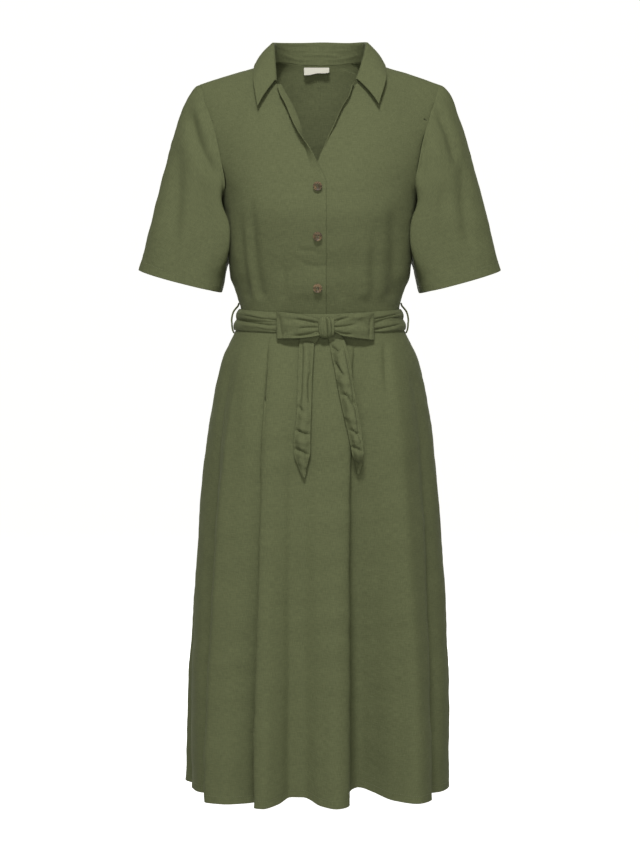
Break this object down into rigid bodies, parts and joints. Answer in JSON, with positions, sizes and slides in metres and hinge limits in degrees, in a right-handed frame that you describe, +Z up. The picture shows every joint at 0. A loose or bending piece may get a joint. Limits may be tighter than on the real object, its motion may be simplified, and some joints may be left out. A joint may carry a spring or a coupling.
{
  "type": "shirt dress",
  "caption": "Short-sleeved midi shirt dress with pointed collar, buttoned front, tie belt with a bow and a softly pleated skirt, in its worn form.",
  "frame": {"origin": "midway between the shoulders at neck level, where the wearer's shoulders carry the dress", "axes": "+Z up along the body, the front faces -Y, +X to the viewer's right seen from the front"},
  "size_m": [0.5772, 0.344, 1.2079],
  "materials": {
    "dress_cloth": "matt plain-weave olive green cloth with a linen look",
    "collar_cloth": "the same cloth, doubled and pressed",
    "belt_cloth": "the same cloth, doubled and creased",
    "button": "mottled brown, softly polished",
    "label": "off-white woven tape, bare"
  },
  "bodies": {
    "root": {"bodice_front_right": "dress_cloth", "bodice_front_left": "dress_cloth", "bodice_back": "dress_cloth", "collar": "collar_cloth", "sleeve_right": "dress_cloth", "sleeve_left": "dress_cloth", "skirt_front": "dress_cloth", "skirt_back": "dress_cloth", "belt_band": "belt_cloth", "belt_knot": "belt_cloth", "bow_loop_right": "belt_cloth", "bow_loop_left": "belt_cloth", "belt_end_right": "belt_cloth", "belt_end_left": "belt_cloth", "belt_loop_right": "belt_cloth", "belt_loop_left": "belt_cloth", "button_top": "button", "button_middle": "button", "button_bottom": "button", "neck_label": "label"}
  },
  "joints": []
}
